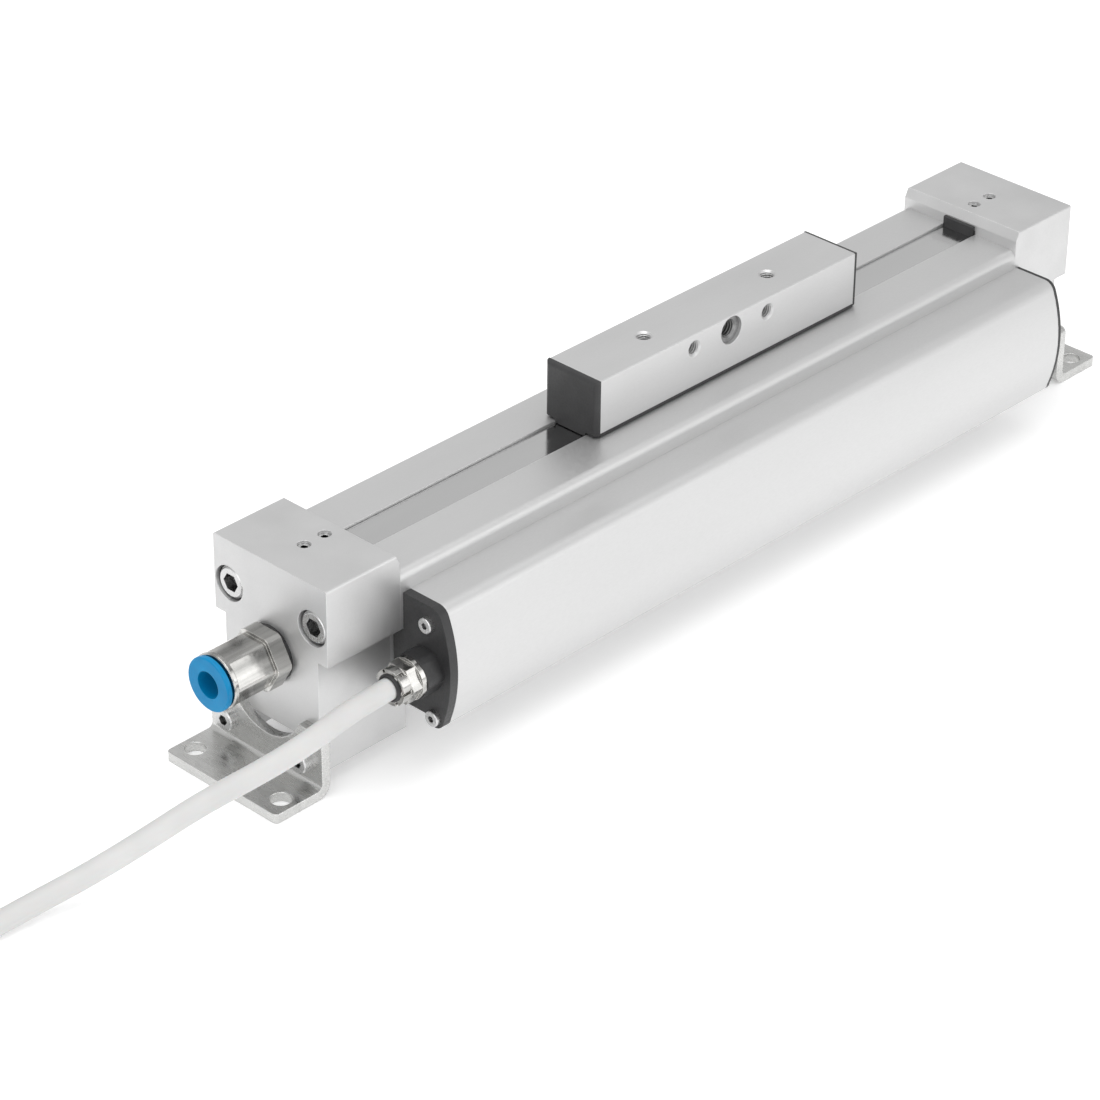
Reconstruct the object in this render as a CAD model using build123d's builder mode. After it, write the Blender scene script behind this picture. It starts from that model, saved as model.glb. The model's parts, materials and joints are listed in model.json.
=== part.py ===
from build123d import *
import math
import os

# Rodless pneumatic cylinder with a narrow carriage on top and a displacement encoder along one side.
# Millimetres. X runs along the barrel, Z is up and the encoder is on the -Y side.
# The origin is the middle of the four foot holes, on the plane that the feet stand on.

# Clearances that several fits share
close_fit = 0.05  # between pieces that seat in one another
free_fit = 0.1  # round shanks and tongues that slide in

# Lengths along the barrel
stroke = 125.0
carriage_length = 116.0
end_room = 14.4  # left between the carriage and a cap when the piston stops
carriage_rest = 14.0  # carriage centre from the middle of the barrel, as it stands in the picture
cap_depth = 27.6
barrel_length = stroke + carriage_length + 2 * end_room
barrel_end = barrel_length / 2
cap_face = barrel_end + cap_depth

# Barrel section
axis_height = 36.7
bore_radius = 12.5
barrel_bottom = 14.2
barrel_top = 59.2
shoulder_height = 41.3
barrel_width = 45.0
waist_width = 37.0
barrel_edge = 2.5
slot_width = 6.0
band_channel_width = 12.2
band_channel_depth = 1.2
side_slot_heights = (24.0, 44.9)
side_slot_neck = 3.0
side_slot_head = 4.4
side_slot_depth = 4.2
base_slot_offset = 11.5
base_slot_neck = 3.8
base_slot_head = 6.4
base_slot_depth = 4.6
slot_lip = 1.3

# Bands that close the slot from outside and from inside
cover_band_width = 11.8
cover_band_thickness = 0.4
band_gap = 0.15
band_bend = 50.0
band_ramp = 20.0
band_hold = 17.0  # length of cover band held inside each cap
seal_band_width = 8.0
seal_band_thickness = 0.8
seal_band_bend = 40.0
seal_band_dip = 10.0
dip_half_flat = 8.0
dip_half_length = 38.0

# End caps
cap_top = 65.5
cap_bottom = 4.7
cap_leg_width = 7.0
cap_edge = 0.6
cap_slope_run = 1.4
cap_slope_drop = 3.0
ledge_length = 5.5
spigot_length = 10.0
spigot_clearance = 0.1
o_ring_section = 0.95
o_ring_room = 0.19  # beside the ring in its groove
port_tap_radius = 5.9
port_depth = 13.0
air_passage_radius = 3.5
cap_screw_spacing = 33.0
cap_screw_height = 51.5
cap_screw_radius = 3.0
cap_screw_head_radius = 5.0
cap_screw_head_height = 6.0
cap_screw_socket = 2.9
counterbore_radius = 5.5
counterbore_depth = 6.5
cap_screw_reach = 14.0
cap_tap_overrun = 2.0
screw_clearance = 0.3

# Band clamps and the grub screws that press them
clamp_nose = 0.9
clamp_width = 11.8
clamp_rise = 2.8
tongue_height = 2.0
grub_offsets = (6.8, 14.5)  # from the barrel end
grub_radius = 1.95
grub_length = 4.2
grub_socket = 1.15

# Carriage
carriage_width = 20.5
carriage_height = 17.8
carriage_gap = 0.8
carriage_tunnel_height = 7.2
end_cover_thickness = 1.8
end_cover_round = 1.4
end_cover_plug = 4.0
end_cover_plug_height = 5.04
strip_width = 3.0
strip_height = 1.1
strip_gap = 0.3
top_hole_spacing = 54.6
side_hole_spacing = 32.4
side_hole_height = 13.0  # above the underside of the carriage
m5_tap_radius = 2.1
tapped_depth = 7.5
countersink = 0.6
countersink_angle = 90
bush_radius = 4.45
bush_bore_radius = 2.5
bush_length = 7.0
bush_recess = 1.2

# Driver that joins the piston to the carriage through the slot
slot_clearance = 0.3
web_half_length = 20.0
head_half_length = 15.0
head_height = 5.0
driver_half_length = 34.0
driver_clearance = 0.5
tunnel_side_clearance = 0.2
tunnel_floor = 1.5  # above the cylinder axis
tunnel_top = 8.2
dowel_radius = 1.5
dowel_spacing = 20.0
dowel_grip = 8.0

# Piston heads
piston_half_length = 56.0
piston_clearance = 0.2
ring_clearance = 0.05
guide_ring_start = 46.0
guide_ring_width = 2.6
lip_seal_start = 50.4
lip_seal_width = 2.8
lip_thickness = 0.425
lip_flare = 0.34  # how far the lip stands out over its heel
groove_depth = 1.7
piston_nose = 1.4
head_channel_floor = 10.3
magnet_inner_radius = 6.6
magnet_outer_radius = 9.4
magnet_length = 5.0
piston_screw_drop = 4.0
piston_screw_radius = 2.0
piston_screw_head_radius = 3.2
piston_screw_head_height = 3.5
piston_screw_socket = 1.5
piston_screw_grip = 9.0

# Encoder housing
housing_bottom = 17.3
housing_top = 53.0
housing_reach = 40.7
housing_top_reach = 36.2
housing_bottom_reach = 37.9
housing_belly_height = 32.0
housing_corner = 4.0
housing_setback = 1.0  # front end of the encoder from the front end of the barrel
housing_overrun = 2.4  # rear end of the encoder past the rear end of the barrel
front_plate_thickness = 3.0
rear_plate_thickness = 1.2
lug_radius = 3.4
upper_screw_inset = (4.0, 6.0)  # from the top outer corner
lower_screw_inset = (3.4, 0.3)  # from the bottom outer corner
plate_screw_radius = 1.4
plate_screw_head_radius = 2.4
plate_screw_head_height = 1.6
plate_screw_socket = 1.08
plate_screw_reach = 9.0
inner_wall = 3.0
outer_wall = 3.7
chamber_floor = 4.5
chamber_roof = 2.0  # under the barrel's shoulder
chamber_corner = 2.0
sensor_radius = 2.6
sensor_play = 0.3  # to the inner wall
sensor_headroom = 0.5
board_lift = 5.2
board_thickness = 1.6
board_length = 92.0
board_groove = 0.8
board_play = 0.1
chip_spacing = 23.0
chip_length = 11.5
chip_count = 3

# Cable gland
gland_y = -31.5
gland_height = 32.5
boss_width = 12.6
boss_corner_radius = 6.804
boss_length = 6.0
gland_flange_radius = 6.4
gland_flange_length = 1.6
gland_nut_width = 11.0
gland_nut_length = 6.4
gland_hex_length = 3.52
gland_slot_length = 2.56
gland_slot_count = 6
gland_shank_radius = 3.9
gland_wall = 2.2

# Push-in fitting in the front port
fitting_seat_thickness = 1.2
fitting_base_width = 17.0
fitting_base_corner = 9.435
fitting_base_length = 5.0
fitting_hex_width = 14.8
fitting_hex_corner = 8.288
fitting_length = 21.0
fitting_rim_radius = 8.4
fitting_rim_length = 1.4
fitting_thread_length = 9.0
tube_radius = 4.1
tube_stop = 17.0
fitting_bore_radius = 5.8
fitting_passage_radius = 3.0
release_ring_radius = 8.2
release_ring_flange = 1.5
release_ring_travel = 1.0
release_sleeve_radius = 5.5
release_sleeve_length = 6.5
grip_ring_length = 2.4
tube_seal_length = 2.4

# Feet
foot_width = barrel_width
foot_thickness = 3.0
foot_height = 20.5
foot_reach = 20.5
foot_inner_bend = 1.5
foot_ear_corner = 2.0
foot_notch_radius = 14.6
foot_notch_bottom = 11.5
foot_hole_radius = 3.2
foot_hole_edge = 5.0  # from the side of the foot
foot_hole_distance = 14.0  # from the cap face
foot_plate_corner = 1.5
foot_screw_height = 9.6
foot_screw_radius = 1.8
foot_screw_head_radius = 3.4
foot_screw_head_height = 2.6
foot_screw_socket = 1.7
foot_screw_reach = 8.0
foot_tap_overrun = 1.0

# Encoder cable, in its route from the gland down to the coil on the floor
cable_radius = 3.25
arc_share = 0.45  # of the shorter run beside a bend, so that two arcs never meet
coil_centre = (-322.0, 29.65)
coil_radius = 33.0  # middle of the turns
coil_columns = 2
coil_layers = 3
lead_length = 24.0
tie_width = 4.0
tie_thickness = 0.8
tie_angles = (20, 200)
connector_grip_radius = 6.4
connector_grip_length = 22.0
grip_groove_start = 7.7
grip_groove_length = 11.0
grip_groove_radius = 0.8
grip_groove_count = 12
connector_shell_radius = 7.0
connector_shell_length = 15.0
connector_shell_wall = 0.9
pin_radius = 0.5
pin_circle_radius = 2.8
pin_count = 8
pin_length = 6.0

# Values worked out from those above
axis_line = Axis((0, 0, axis_height), (1, 0, 0))
waist = waist_width / 2
flank = barrel_width / 2
bore_top = axis_height + bore_radius
band_floor = barrel_top - band_channel_depth
seal_band_underside = bore_top + close_fit
carriage_bottom = barrel_top + carriage_gap
carriage_top = carriage_bottom + carriage_height
side_hole_z = carriage_bottom + side_hole_height
block_half_length = carriage_length / 2 - end_cover_thickness
head_top = carriage_bottom + head_height
head_middle = carriage_bottom + head_height / 2
arch_rise = head_top + band_gap - band_floor
arch_tangent = band_bend * math.tan(math.atan2(arch_rise, band_ramp) / 2)
arch_half_flat = head_half_length + arch_tangent + band_gap
dip_slope = math.atan2(seal_band_dip, dip_half_length - dip_half_flat)
dip_end = dip_half_length + seal_band_bend * math.tan(dip_slope / 2)
tongue_top = band_floor + cover_band_thickness + tongue_height
ring_radius = bore_radius - ring_clearance
groove_radius = ring_radius - groove_depth
upper_screw = (upper_screw_inset[0] - housing_top_reach, housing_top - upper_screw_inset[1])
lower_screw = (lower_screw_inset[0] - housing_bottom_reach, housing_bottom + lower_screw_inset[1])
chamber_near = -waist - inner_wall
chamber_far = outer_wall - housing_reach
chamber_low = housing_bottom + chamber_floor
chamber_high = shoulder_height - chamber_roof
sensor_offset = chamber_near - sensor_play - sensor_radius
sensor_height = chamber_high - sensor_headroom - sensor_radius
board_height = chamber_low + board_lift
foot_hole_spacing = foot_width - 2 * foot_hole_edge
foot_screw_spacing = waist_width - cap_leg_width
cap_screw_places = [(side * cap_screw_spacing / 2, cap_screw_height) for side in (1, -1)]
foot_screw_places = [(side * foot_screw_spacing / 2, foot_screw_height) for side in (1, -1)]
grub_places = [(-barrel_end - offset, 0) for offset in grub_offsets]
tunnel_width = seal_band_width + 2 * tunnel_side_clearance
encoder_front = -barrel_end + housing_setback
encoder_rear = barrel_end + housing_overrun
housing_front = encoder_front + front_plate_thickness
housing_length = encoder_rear - rear_plate_thickness - housing_front
front_plane = Plane(origin=(-cap_face, 0, 0), x_dir=(0, -1, 0), z_dir=(-1, 0, 0))
carriage_section = Plane(origin=(carriage_rest, 0, 0), x_dir=(0, 1, 0), z_dir=(1, 0, 0))
carriage_side = Plane(origin=(carriage_rest, 0, 0), x_dir=(1, 0, 0), z_dir=(0, -1, 0))

# Plane through the inner ends of the dowels, which go in from the +Y side
dowel_tip = Plane(
    origin=(carriage_rest, band_channel_width / 2 - dowel_grip, head_middle),
    x_dir=(1, 0, 0),
    z_dir=(0, -1, 0),
)

pieces = {}


def keep(name, builder):
    builder.part.label = name
    export_step(builder.part, f"parts/{name}.step")
    pieces[name] = builder.part


def keep_pair(name, front, about):
    # The front piece, and its mirror image at the other end.
    with BuildPart() as rear:
        mirror(front.part, about=about)
    keep(f"{name}_front", front)
    keep(f"{name}_rear", rear)


def cut_t_slot(place, neck_width, head_width, depth):
    # In a section sketch: +x of the place points out of the face.
    with Locations(place):
        Rectangle(2 * slot_lip, neck_width, mode=Mode.SUBTRACT)
        with Locations((-slot_lip, 0)):
            Rectangle(depth - slot_lip, head_width, align=(Align.MAX, Align.CENTER), mode=Mode.SUBTRACT)


def add_screws(seat, places, radius, reach, head_radius, head_height, socket_radius, socket_depth):
    # Screws that bear on the seat plane, heads along its normal.
    seat_axis = Axis(seat.origin, seat.z_dir)
    with BuildSketch(seat) as heads:
        with Locations(*places):
            Circle(head_radius)
    extrude(heads.sketch, amount=head_height)
    chamfer(edges().group_by(seat_axis)[-1], length=head_height / 8)
    with BuildSketch(seat) as shanks:
        with Locations(*places):
            Circle(radius)
    extrude(shanks.sketch, amount=-reach)
    with BuildSketch(seat.offset(head_height)) as sockets:
        with Locations(*places):
            RegularPolygon(socket_radius, 6)
    extrude(sockets.sketch, amount=-socket_depth, mode=Mode.SUBTRACT)


def bore_ring(inner, outer, start, length, mode=Mode.ADD):
    # In a part: a ring about the cylinder axis, from x = start along +X.
    with BuildSketch(Plane.YZ.offset(start)) as ring:
        with Locations((0, axis_height)):
            Circle(outer)
            if inner > 0:
                Circle(inner, mode=Mode.SUBTRACT)
    extrude(ring.sketch, amount=length, mode=mode)


os.makedirs("parts", exist_ok=True)

# Barrel: an extrusion with shoulders, a slot down to the bore and seats for both bands
with BuildPart() as barrel:
    with BuildSketch(Plane.YZ.offset(-barrel_end)):
        with Locations((0, barrel_bottom)):
            Rectangle(waist_width, barrel_top - barrel_bottom, align=(Align.CENTER, Align.MIN))
        with Locations((0, shoulder_height)):
            Rectangle(barrel_width, barrel_top - shoulder_height, align=(Align.CENTER, Align.MIN))
        fillet(vertices().group_by(Axis.Y)[-1], radius=barrel_edge)
        fillet(vertices().group_by(Axis.Y)[0], radius=barrel_edge / 2)
        with Locations((0, axis_height)):
            Circle(bore_radius, mode=Mode.SUBTRACT)
            Rectangle(slot_width, barrel_top, align=(Align.CENTER, Align.MIN), mode=Mode.SUBTRACT)
            Rectangle(
                seal_band_width + 4 * close_fit,
                bore_radius + seal_band_thickness + 2 * close_fit,
                align=(Align.CENTER, Align.MIN),
                mode=Mode.SUBTRACT,
            )
        with Locations((0, band_floor)):
            Rectangle(
                band_channel_width,
                2 * band_channel_depth,
                align=(Align.CENTER, Align.MIN),
                mode=Mode.SUBTRACT,
            )
        for face, height in zip((waist, flank), side_slot_heights):
            cut_t_slot(Location((face, height, 0)), side_slot_neck, side_slot_head, side_slot_depth)
        for side in (-1, 1):
            place = Location((side * base_slot_offset, barrel_bottom, 0), (0, 0, -90))
            cut_t_slot(place, base_slot_neck, base_slot_head, base_slot_depth)
    extrude(amount=barrel_length)
    for x in (-barrel_end, barrel_end):
        with BuildSketch(Plane.YZ.offset(x)):
            with Locations((0, cap_screw_height)):
                with GridLocations(cap_screw_spacing, 0, 2, 1):
                    Circle(cap_screw_radius + free_fit)
        extrude(amount=cap_screw_reach + cap_tap_overrun, both=True, mode=Mode.SUBTRACT)
keep("barrel", barrel)

# End cap: head and waist follow the barrel, two legs below, a spigot that closes the bore
with BuildPart() as end_cap:
    with BuildSketch(Plane.YZ.offset(-cap_face)):
        with Locations((0, cap_bottom)):
            Rectangle(waist_width, cap_top - cap_bottom, align=(Align.CENTER, Align.MIN))
            Rectangle(
                waist_width - 2 * cap_leg_width,
                barrel_bottom - cap_bottom,
                align=(Align.CENTER, Align.MIN),
                mode=Mode.SUBTRACT,
            )
        with Locations((0, shoulder_height)):
            Rectangle(barrel_width, cap_top - shoulder_height, align=(Align.CENTER, Align.MIN))
        fillet(vertices().group_by(Axis.Y)[-1], radius=cap_edge)
    extrude(amount=cap_depth)
    with BuildSketch(Plane.XZ):
        with BuildLine():
            Polyline(
                (-barrel_end, cap_top),
                (-barrel_end - cap_slope_run, cap_top),
                (-barrel_end, cap_top - cap_slope_drop),
                close=True,
            )
        make_face()
    extrude(amount=barrel_width, both=True, mode=Mode.SUBTRACT)
    with BuildSketch(Plane.YZ.offset(-barrel_end)):
        for side in (-1, 1):
            with Locations((side * (waist - cap_leg_width / 2), cap_bottom)):
                Rectangle(cap_leg_width, barrel_bottom - cap_bottom, align=(Align.CENTER, Align.MIN))
    extrude(amount=ledge_length)
    bore_ring(air_passage_radius, bore_radius - spigot_clearance, -barrel_end, spigot_length)
    with BuildSketch(Plane.YZ.offset(-barrel_end + spigot_length / 2)):
        with Locations((0, axis_height)):
            Circle(bore_radius)
            Circle(bore_radius - 2 * o_ring_section - close_fit, mode=Mode.SUBTRACT)
    extrude(amount=o_ring_section + o_ring_room, both=True, mode=Mode.SUBTRACT)
    with Locations(front_plane):
        with Locations(*cap_screw_places):
            CounterBoreHole(
                cap_screw_radius + screw_clearance,
                counterbore_radius,
                counterbore_depth,
                cap_depth,
            )
        with Locations((0, axis_height)):
            Hole(air_passage_radius, cap_depth + spigot_length)
            Hole(port_tap_radius, port_depth)
        with Locations(*foot_screw_places):
            Hole(foot_screw_radius + close_fit, foot_screw_reach + foot_tap_overrun)
    with BuildSketch(Plane.YZ.offset(-barrel_end)):
        with Locations((0, band_floor - free_fit)):
            Rectangle(
                band_channel_width,
                cover_band_thickness + tongue_height + 2 * free_fit,
                align=(Align.CENTER, Align.MIN),
            )
    extrude(amount=-(band_hold + 2 * free_fit), mode=Mode.SUBTRACT)
    with Locations(Plane.XY.offset(cap_top)):
        with Locations(*grub_places):
            Hole(grub_radius + close_fit, cap_top - band_floor - cover_band_thickness)
keep_pair("end_cap", end_cap, Plane.YZ)

# O-ring on the spigot of each cap
with BuildPart() as end_seal:
    with BuildSketch(Plane.XZ):
        with Locations((-barrel_end + spigot_length / 2, bore_top - close_fit - o_ring_section)):
            Circle(o_ring_section)
    revolve(axis=axis_line)
keep_pair("end_seal", end_seal, Plane.YZ)

# Cap screws
with BuildPart() as cap_screws:
    add_screws(
        front_plane.offset(-counterbore_depth),
        cap_screw_places,
        cap_screw_radius,
        cap_depth - counterbore_depth + cap_screw_reach,
        cap_screw_head_radius,
        cap_screw_head_height,
        cap_screw_socket,
        cap_screw_head_height / 2,
    )
keep_pair("cap_screws", cap_screws, Plane.YZ)


def band_profile(end, level, middle_level, half_flat, half_length, bend, thickness):
    # Side view of a band from end to end, lifted or dipped where it passes the driver.
    path = [
        (-end, level),
        (carriage_rest - half_length, level),
        (carriage_rest - half_flat, middle_level),
        (carriage_rest + half_flat, middle_level),
        (carriage_rest + half_length, level),
        (end, level),
    ]
    with BuildSketch(Plane.XZ) as profile:
        with BuildLine():
            underside = FilletPolyline(*path, radius=bend)
            upside = FilletPolyline(*[(x, z + thickness) for x, z in path], radius=bend)
            Line(underside @ 0, upside @ 0)
            Line(underside @ 1, upside @ 1)
        make_face()
    return profile.sketch


# Steel cover band: lies in the channel on the barrel and runs through the carriage over the driver
with BuildPart() as cover_band:
    profile = band_profile(
        barrel_end + band_hold,
        band_floor,
        head_top + band_gap,
        arch_half_flat,
        arch_half_flat + band_ramp,
        band_bend,
        cover_band_thickness,
    )
    extrude(profile, amount=cover_band_width / 2, both=True)
keep("cover_band", cover_band)

# Inner sealing band: closes the slot from inside and dips through the tunnel of the driver
with BuildPart() as seal_band:
    profile = band_profile(
        barrel_end - close_fit,
        seal_band_underside,
        seal_band_underside - seal_band_dip,
        dip_half_flat,
        dip_half_length,
        seal_band_bend,
        seal_band_thickness,
    )
    extrude(profile, amount=seal_band_width / 2, both=True)
    for start, stop in (
        (-barrel_end + close_fit, carriage_rest - dip_end),
        (carriage_rest + dip_end, barrel_end - close_fit),
    ):
        with BuildSketch(Plane.YZ.offset(start)):
            with Locations((0, seal_band_underside + seal_band_thickness / 2)):
                Rectangle(seal_band_width, bore_radius / 2, align=(Align.CENTER, Align.MAX))
            with Locations((0, axis_height)):
                Circle(bore_radius + close_fit, mode=Mode.SUBTRACT)
        extrude(amount=stop - start)
keep("seal_band", seal_band)

# Clamp at each end of the cover band: a nose in the channel and a tongue under the grub screws
with BuildPart() as band_clamp:
    with BuildSketch(Plane.XZ):
        with BuildLine():
            Polyline(
                (-barrel_end - band_hold, band_floor + cover_band_thickness),
                (-barrel_end + clamp_nose, band_floor + cover_band_thickness),
                (-barrel_end + clamp_nose, barrel_top + clamp_rise),
                (-barrel_end, barrel_top + clamp_rise),
                (-barrel_end, tongue_top),
                (-barrel_end - band_hold, tongue_top),
                close=True,
            )
        make_face()
        fillet(vertices().group_by(Axis.Y)[-1].sort_by(Axis.X)[-1], radius=clamp_nose / 3)
    extrude(amount=clamp_width / 2, both=True)
keep_pair("band_clamp", band_clamp, Plane.YZ)

# Grub screws in the top of each cap
with BuildPart() as clamp_screws:
    with BuildSketch(Plane.XY.offset(tongue_top)):
        with Locations(*grub_places):
            Circle(grub_radius)
    extrude(amount=grub_length)
    with BuildSketch(Plane.XY.offset(tongue_top + grub_length)):
        with Locations(*grub_places):
            RegularPolygon(grub_socket, 6)
    extrude(amount=-grub_length / 2, mode=Mode.SUBTRACT)
keep_pair("clamp_screws", clamp_screws, Plane.YZ)

# Carriage block: a bar with a tunnel for the band and the driver's head
with BuildPart() as carriage_block:
    with BuildSketch(carriage_section):
        with Locations((0, carriage_bottom)):
            Rectangle(carriage_width, carriage_height, align=(Align.CENTER, Align.MIN))
            Rectangle(
                band_channel_width,
                carriage_tunnel_height,
                align=(Align.CENTER, Align.MIN),
                mode=Mode.SUBTRACT,
            )
        for side in (-1, 1):
            with Locations((side * (carriage_width - strip_width) / 2, barrel_top + strip_gap)):
                Rectangle(strip_width, strip_height, align=(Align.CENTER, Align.MIN), mode=Mode.SUBTRACT)
    extrude(amount=block_half_length, both=True)
    chamfer(edges().filter_by(Axis.X).group_by(Axis.Z)[-1], length=cap_edge / 2)
    with Locations(Plane.XY.offset(carriage_top)):
        with Locations((carriage_rest - top_hole_spacing / 2, 0), (carriage_rest + top_hole_spacing / 2, 0)):
            CounterSinkHole(m5_tap_radius, m5_tap_radius + countersink, tapped_depth, countersink_angle)
    side_face = Plane(
        origin=(carriage_rest, -carriage_width / 2, side_hole_z),
        x_dir=(1, 0, 0),
        z_dir=(0, -1, 0),
    )
    with Locations(side_face):
        with Locations((-side_hole_spacing / 2, 0), (side_hole_spacing / 2, 0)):
            CounterSinkHole(m5_tap_radius, m5_tap_radius + countersink, tapped_depth, countersink_angle)
        Hole(bush_radius + close_fit, bush_recess + bush_length)
    with BuildSketch(dowel_tip):
        with GridLocations(dowel_spacing, 0, 2, 1):
            Circle(dowel_radius)
    extrude(amount=-carriage_width, mode=Mode.SUBTRACT)
keep("carriage_block", carriage_block)

# Threaded bush in the side of the carriage
with BuildPart() as carriage_bush:
    with BuildSketch(side_face.offset(-bush_recess)):
        Circle(bush_radius)
        Circle(bush_bore_radius, mode=Mode.SUBTRACT)
    extrude(amount=-bush_length)
    mouth = edges().group_by(Axis.Y)[0].sort_by(SortBy.RADIUS)
    chamfer(mouth[0], length=countersink)
keep("carriage_bush", carriage_bush)

# End cover of the carriage, with the plug that holds it and a tongue that wipes the band channel
with BuildPart() as carriage_cover:
    with BuildSketch(carriage_section.offset(-carriage_length / 2)):
        with Locations((0, carriage_bottom)):
            Rectangle(carriage_width, carriage_height, align=(Align.CENTER, Align.MIN))
    extrude(amount=end_cover_thickness)
    fillet(edges().group_by(Axis.X)[0].sort_by(Axis.Z)[1:], radius=end_cover_round)
    with BuildSketch(carriage_section.offset(-carriage_length / 2)):
        with Locations((0, carriage_bottom)):
            Rectangle(
                clamp_width,
                carriage_gap + band_channel_depth - cover_band_thickness - strip_gap,
                align=(Align.CENTER, Align.MAX),
            )
    extrude(amount=end_cover_thickness)
    with BuildSketch(carriage_section.offset(-block_half_length)):
        with Locations((0, carriage_bottom + carriage_tunnel_height - strip_gap)):
            Rectangle(clamp_width, end_cover_plug_height, align=(Align.CENTER, Align.MAX))
    extrude(amount=end_cover_plug)
keep_pair("carriage_cover", carriage_cover, carriage_section)

# Slide strips along both lower edges of the carriage
with BuildPart() as slide_strips:
    with BuildSketch(carriage_section):
        for side in (-1, 1):
            with Locations((side * (carriage_width - strip_width) / 2, barrel_top + strip_gap)):
                Rectangle(strip_width, strip_height, align=(Align.CENTER, Align.MIN))
    extrude(amount=block_half_length, both=True)
keep("slide_strips", slide_strips)

# Driver: piston middle, web through the slot and head between the bands
with BuildPart() as driver:
    with BuildSketch(carriage_section):
        with Locations((0, axis_height)):
            Circle(bore_radius - driver_clearance)
    extrude(amount=driver_half_length, both=True)
    with BuildSketch(carriage_section):
        with Locations((0, axis_height + tunnel_floor)):
            Rectangle(tunnel_width, bore_radius, align=(Align.CENTER, Align.MIN))
    extrude(amount=driver_half_length, both=True, mode=Mode.SUBTRACT)
    with BuildSketch(carriage_section):
        with Locations((0, axis_height)):
            Circle(bore_radius - driver_clearance)
        with Locations((0, axis_height + tunnel_top)):
            Rectangle(tunnel_width, bore_radius, align=(Align.CENTER, Align.MIN), mode=Mode.INTERSECT)
        with Locations((0, axis_height + tunnel_top)):
            Rectangle(
                slot_width - 2 * slot_clearance,
                carriage_bottom - axis_height - tunnel_top,
                align=(Align.CENTER, Align.MIN),
            )
    extrude(amount=web_half_length, both=True)
    with BuildSketch(carriage_side):
        with Locations((0, carriage_bottom)):
            Rectangle(2 * head_half_length, head_height, align=(Align.CENTER, Align.MIN))
        fillet(vertices().group_by(Axis.Y)[-1], radius=head_height / 3)
    extrude(amount=band_channel_width / 2, both=True)
    with BuildSketch(dowel_tip):
        with GridLocations(dowel_spacing, 0, 2, 1):
            Circle(dowel_radius)
    extrude(amount=-carriage_width, mode=Mode.SUBTRACT)
    for end in (-1, 1):
        with BuildSketch(carriage_section.offset(end * driver_half_length)):
            with Locations((0, axis_height - piston_screw_drop)):
                Circle(piston_screw_radius)
        extrude(amount=piston_screw_grip, both=True, mode=Mode.SUBTRACT)
keep("driver", driver)

# Dowels that lock the driver's head between the walls of the carriage
with BuildPart() as driver_dowels:
    with BuildSketch(dowel_tip):
        with GridLocations(dowel_spacing, 0, 2, 1):
            Circle(dowel_radius)
    extrude(amount=-(dowel_grip + (carriage_width - band_channel_width) / 2))
keep("driver_dowels", driver_dowels)

# Piston head: grooves for the guide ring and the lip seal, pocket for the magnet, screw through it
with BuildPart() as piston_head:
    nose_x = carriage_rest - piston_half_length
    bore_ring(0, bore_radius - piston_clearance, nose_x, piston_half_length - driver_half_length)
    chamfer(edges().group_by(Axis.X)[0], length=piston_nose)
    for start, width in ((guide_ring_start, guide_ring_width), (lip_seal_start, lip_seal_width)):
        groove_x = carriage_rest - start - width - close_fit
        bore_ring(groove_radius, bore_radius, groove_x, width + 2 * close_fit, Mode.SUBTRACT)
    pocket_x = carriage_rest - driver_half_length - magnet_length
    bore_ring(
        magnet_inner_radius - close_fit,
        magnet_outer_radius + close_fit,
        pocket_x,
        magnet_length,
        Mode.SUBTRACT,
    )
    with BuildSketch(carriage_section.offset(-dip_end - band_gap)):
        with Locations((0, axis_height + head_channel_floor)):
            Rectangle(tunnel_width, bore_radius, align=(Align.CENTER, Align.MIN))
    extrude(amount=dip_end - driver_half_length + band_gap, mode=Mode.SUBTRACT)
    with Locations(Plane(origin=(nose_x, 0, axis_height), x_dir=(0, -1, 0), z_dir=(-1, 0, 0))):
        with Locations((0, -piston_screw_drop)):
            CounterBoreHole(
                piston_screw_radius + close_fit,
                piston_screw_head_radius + close_fit,
                piston_screw_head_height,
                piston_half_length - driver_half_length,
            )
keep_pair("piston_head", piston_head, carriage_section)

# Magnet in each piston head, read by the encoder through the barrel wall
with BuildPart() as piston_magnet:
    bore_ring(magnet_inner_radius, magnet_outer_radius, pocket_x, magnet_length)
keep_pair("piston_magnet", piston_magnet, carriage_section)

# Guide ring on each piston head
with BuildPart() as guide_ring:
    bore_ring(
        groove_radius,
        ring_radius,
        carriage_rest - guide_ring_start - guide_ring_width,
        guide_ring_width,
    )
keep_pair("guide_ring", guide_ring, carriage_section)

# Lip seal on each piston head, its lip open towards the pressure
with BuildPart() as lip_seal:
    heel_x = carriage_rest - lip_seal_start
    lip_x = heel_x - lip_seal_width
    lip_root = (groove_radius + ring_radius) / 2
    with BuildSketch(Plane.XZ):
        with BuildLine():
            Polyline(
                (heel_x, axis_height + groove_radius),
                (heel_x, axis_height + ring_radius - lip_flare),
                (lip_x, axis_height + ring_radius),
                (lip_x, axis_height + ring_radius - lip_thickness),
                (heel_x - lip_seal_width / 2, axis_height + lip_root),
                (lip_x, axis_height + groove_radius + lip_thickness),
                (lip_x, axis_height + groove_radius),
                close=True,
            )
        make_face()
    revolve(axis=axis_line)
keep_pair("lip_seal", lip_seal, carriage_section)

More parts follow.
